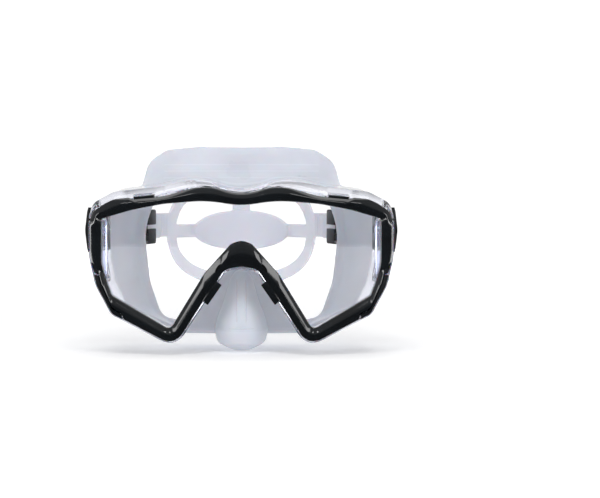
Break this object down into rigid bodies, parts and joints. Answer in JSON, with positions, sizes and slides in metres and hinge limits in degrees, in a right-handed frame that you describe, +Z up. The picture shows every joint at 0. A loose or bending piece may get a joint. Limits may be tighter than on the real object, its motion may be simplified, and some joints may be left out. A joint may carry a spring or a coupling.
{
  "type": "snorkel mask",
  "caption": "Panoramic snorkel mask with a one-piece front window, side windows, a clear skirt with a nose pocket, and a split strap on swivelling squeeze buckles.",
  "frame": {"origin": "centre of the face opening, in the plane of the skirt's sealing edge", "axes": "+Z up as worn, -Y out through the front window, +X to the wearer's left"},
  "size_m": [0.1856, 0.1752, 0.1215],
  "materials": {
    "gloss_black": "gloss moulded",
    "satin_black": "satin moulded",
    "clear_plastic": "polished transparent",
    "window_glass": "polished",
    "clear_silicone": "satin translucent",
    "steel": "fine brushed"
  },
  "bodies": {
    "mask": {"front_bezel": "gloss_black", "main_frame": "clear_plastic", "front_lens": "window_glass", "front_lens_seal": "clear_silicone", "skirt": "clear_silicone", "corner_clip_left": "satin_black", "corner_clip_right": "satin_black", "side_lens_left": "window_glass", "side_lens_right": "window_glass", "side_lens_seal_left": "clear_silicone", "side_lens_seal_right": "clear_silicone", "side_bracket_left": "satin_black", "side_bracket_right": "satin_black", "bracket_screw_left": "steel", "bracket_screw_right": "steel", "pivot_pin_left": "steel", "pivot_pin_right": "steel"},
    "strap_set": {"strap": "clear_silicone", "buckle_body_left": "satin_black", "buckle_body_right": "satin_black", "roller_axle_left": "steel", "roller_axle_right": "steel", "upper_spring_left": "steel", "upper_spring_right": "steel", "lower_spring_left": "steel", "lower_spring_right": "steel"},
    "roller_left": {"strap_roller_left": "satin_black"},
    "roller_right": {"strap_roller_right": "satin_black"},
    "upper_button_left": {"upper_button_left": "satin_black"},
    "upper_button_right": {"upper_button_right": "satin_black"},
    "lower_button_left": {"lower_button_left": "satin_black"},
    "lower_button_right": {"lower_button_right": "satin_black"}
  },
  "joints": [
    {"name": "strap_swing", "type": "hinge", "parent": "mask", "child": "strap_set", "pos_m": [0, 0.002, 0.0085], "axis": [1, 0, 0], "range_deg": [-40, 45]},
    {"name": "roller_spin_left", "type": "hinge", "parent": "strap_set", "child": "roller_left", "pos_m": [0.06746, 0.02903, 0.0085], "axis": [0, 0, 1], "continuous": true},
    {"name": "roller_spin_right", "type": "hinge", "parent": "strap_set", "child": "roller_right", "pos_m": [-0.06746, 0.02903, 0.0085], "axis": [0, 0, 1], "continuous": true},
    {"name": "upper_squeeze_left", "type": "slide", "parent": "strap_set", "child": "upper_button_left", "axis": [0, 0, -1], "range_m": [0, 0.001], "stiffness_N_per_m": 600, "springref_m": -0.001, "deforming": ["upper_spring_left"]},
    {"name": "upper_squeeze_right", "type": "slide", "parent": "strap_set", "child": "upper_button_right", "axis": [0, 0, -1], "range_m": [0, 0.001], "stiffness_N_per_m": 600, "springref_m": -0.001, "deforming": ["upper_spring_right"]},
    {"name": "lower_squeeze_left", "type": "slide", "parent": "strap_set", "child": "lower_button_left", "axis": [0, 0, 1], "range_m": [0, 0.001], "stiffness_N_per_m": 600, "springref_m": -0.001, "deforming": ["lower_spring_left"]},
    {"name": "lower_squeeze_right", "type": "slide", "parent": "strap_set", "child": "lower_button_right", "axis": [0, 0, 1], "range_m": [0, 0.001], "stiffness_N_per_m": 600, "springref_m": -0.001, "deforming": ["lower_spring_right"]}
  ]
}
